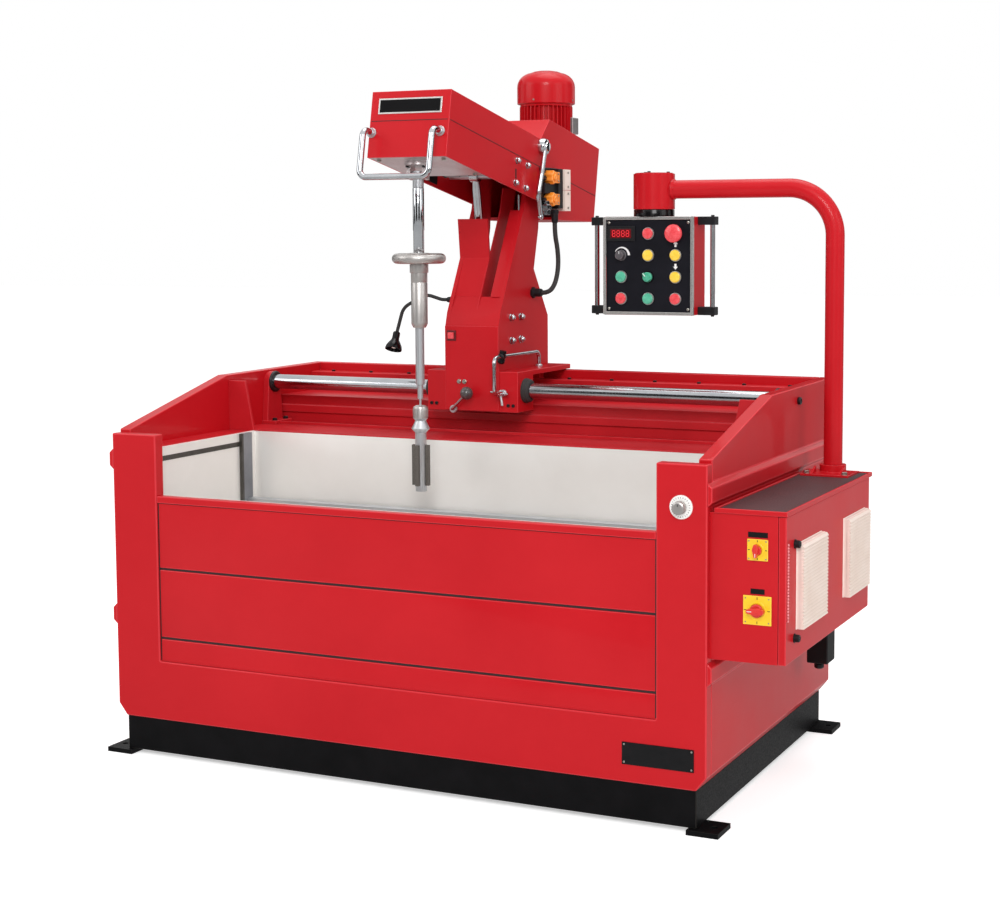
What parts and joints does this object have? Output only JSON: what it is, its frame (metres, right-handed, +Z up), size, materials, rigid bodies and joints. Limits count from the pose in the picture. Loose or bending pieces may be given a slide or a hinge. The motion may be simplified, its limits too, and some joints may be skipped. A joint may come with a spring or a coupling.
{
  "type": "vertical cylinder honing machine",
  "caption": "Cylinder honing machine: red open tank body, carriage on a round guide bar, rocking head with feed ring and hone, swinging control pendant and side cabinet.",
  "frame": {"origin": "on the floor at the centre of the four floor bolts", "axes": "+X to the machine's right as its operator sees it, +Y to the back, +Z up"},
  "size_m": [1.7105, 1.1602, 1.678],
  "materials": {
    "red_paint": "gloss enamel",
    "black_paint": "satin enamel",
    "stainless": "brushed stainless sheet",
    "chrome": "hard chrome, polished",
    "ground_steel": "ground steel",
    "black_plastic": "moulded",
    "coloured_plastic": "moulded lens caps in several colours",
    "cream_plastic": "moulded",
    "yellow_plastic": "moulded",
    "red_plastic": "moulded",
    "white_enamel": "enamelled disc",
    "stone": "bonded abrasive",
    "black_rubber": "cable sheath"
  },
  "bodies": {
    "base": {"levelling_feet": "black_paint", "plinth": "black_paint", "front_frame": "red_paint", "side_panel_right": "red_paint", "side_panel_left": "red_paint", "back_panel": "red_paint", "front_panel": "red_paint", "tank_liner": "stainless", "work_rails": "black_paint", "deck_plates": "red_paint", "end_gussets": "red_paint", "bar_supports": "red_paint", "rear_beam": "red_paint", "guide_bar": "chrome", "feed_dial": "white_enamel", "cabinet_lid": "red_paint", "cabinet": "red_paint", "switch_plates": "yellow_plastic", "junction_box": "black_paint", "arm_socket": "red_paint"},
    "dial": {"dial_knob": "chrome"},
    "main_switch": {"main_switch_knob": "red_plastic"},
    "pump_switch": {"pump_switch_knob": "red_plastic"},
    "door": {"cabinet_door": "red_paint", "filter_grilles": "cream_plastic", "door_locks": "chrome"},
    "arm": {"pendant_arm": "red_paint"},
    "pendant": {"pendant_swivel": "red_paint", "pendant_box": "red_paint", "control_panel": "black_plastic", "control_buttons": "coloured_plastic", "grip_blocks": "black_plastic", "grip_bars": "chrome"},
    "carriage": {"carriage": "red_paint", "bearing_seals": "black_paint", "column": "red_paint", "stop_rod": "chrome", "clamp_bar": "chrome", "lock_lever": "black_plastic", "lamp": "black_plastic", "column_gland": "chrome", "head_cable": "black_rubber"},
    "cylinder": {"cylinder_barrel": "black_paint"},
    "rod": {"piston_rod": "chrome"},
    "head": {"head_housing": "red_paint", "nose_bearing": "ground_steel", "head_pins": "chrome", "motor_body": "red_paint", "motor_cowl": "red_paint", "head_lever": "ground_steel", "head_switch_boxes": "cream_plastic", "head_gland": "black_plastic", "nose_handle": "chrome"},
    "yoke": {"joint_yoke": "ground_steel"},
    "spindle": {"drive_shaft": "ground_steel", "feed_sleeve": "chrome", "feed_ring": "ground_steel", "hone_body": "ground_steel", "hone_stones": "stone"}
  },
  "joints": [
    {"name": "carriage_slide", "type": "slide", "parent": "base", "child": "carriage", "axis": [1, 0, 0], "range_m": [-0.41, 0.19]},
    {"name": "head_rock", "type": "hinge", "parent": "carriage", "child": "head", "pos_m": [-0.085, 0.344, 1.462], "axis": [1, 0, 0], "range_deg": [-4, 16], "deforming": ["head_cable"]},
    {"name": "cylinder_swing", "type": "hinge", "parent": "carriage", "child": "cylinder", "pos_m": [-0.113, 0.27, 1.002], "axis": [1, 0, 0], "range_deg": [-3, 1]},
    {"name": "rod_swing", "type": "hinge", "parent": "head", "child": "rod", "pos_m": [-0.113, 0.20352, 1.38823], "axis": [1, 0, 0], "range_deg": [-19, 5]},
    {"name": "spindle_swing", "type": "hinge", "parent": "head", "child": "yoke", "pos_m": [-0.085, -0.142, 1.38145], "axis": [1, 0, 0], "range_deg": [-17, 5]},
    {"name": "spindle_spin", "type": "hinge", "parent": "yoke", "child": "spindle", "pos_m": [-0.085, -0.142, 1.05], "axis": [0, 0, 1], "continuous": true},
    {"name": "arm_swing", "type": "hinge", "parent": "base", "child": "arm", "pos_m": [0.83, 0.188, 0.9], "axis": [0, 0, 1], "range_deg": [0, 110]},
    {"name": "pendant_turn", "type": "hinge", "parent": "arm", "child": "pendant", "pos_m": [0.38, 0.188, 1.29], "axis": [0, 0, 1], "range_deg": [-90, 90]},
    {"name": "door_hinge", "type": "hinge", "parent": "base", "child": "door", "pos_m": [0.8985, 0.2095, 0.52], "axis": [0, 0, 1], "range_deg": [0, 110]},
    {"name": "main_switch_turn", "type": "hinge", "parent": "base", "child": "main_switch", "pos_m": [0.853, -0.444, 0.48], "axis": [0, -1, 0], "range_deg": [0, 90]},
    {"name": "pump_switch_turn", "type": "hinge", "parent": "base", "child": "pump_switch", "pos_m": [0.853, -0.444, 0.604], "axis": [0, -1, 0], "range_deg": [0, 90]},
    {"name": "dial_turn", "type": "hinge", "parent": "base", "child": "dial", "pos_m": [0.694, -0.465, 0.684], "axis": [0, -1, 0], "range_deg": [-150, 150]}
  ],
  "couplings": [
    {"joint": "cylinder_swing", "follows": "head_rock", "ratio": -0.17},
    {"joint": "rod_swing", "follows": "head_rock", "ratio": -1.17},
    {"joint": "spindle_swing", "follows": "head_rock", "ratio": -1}
  ]
}
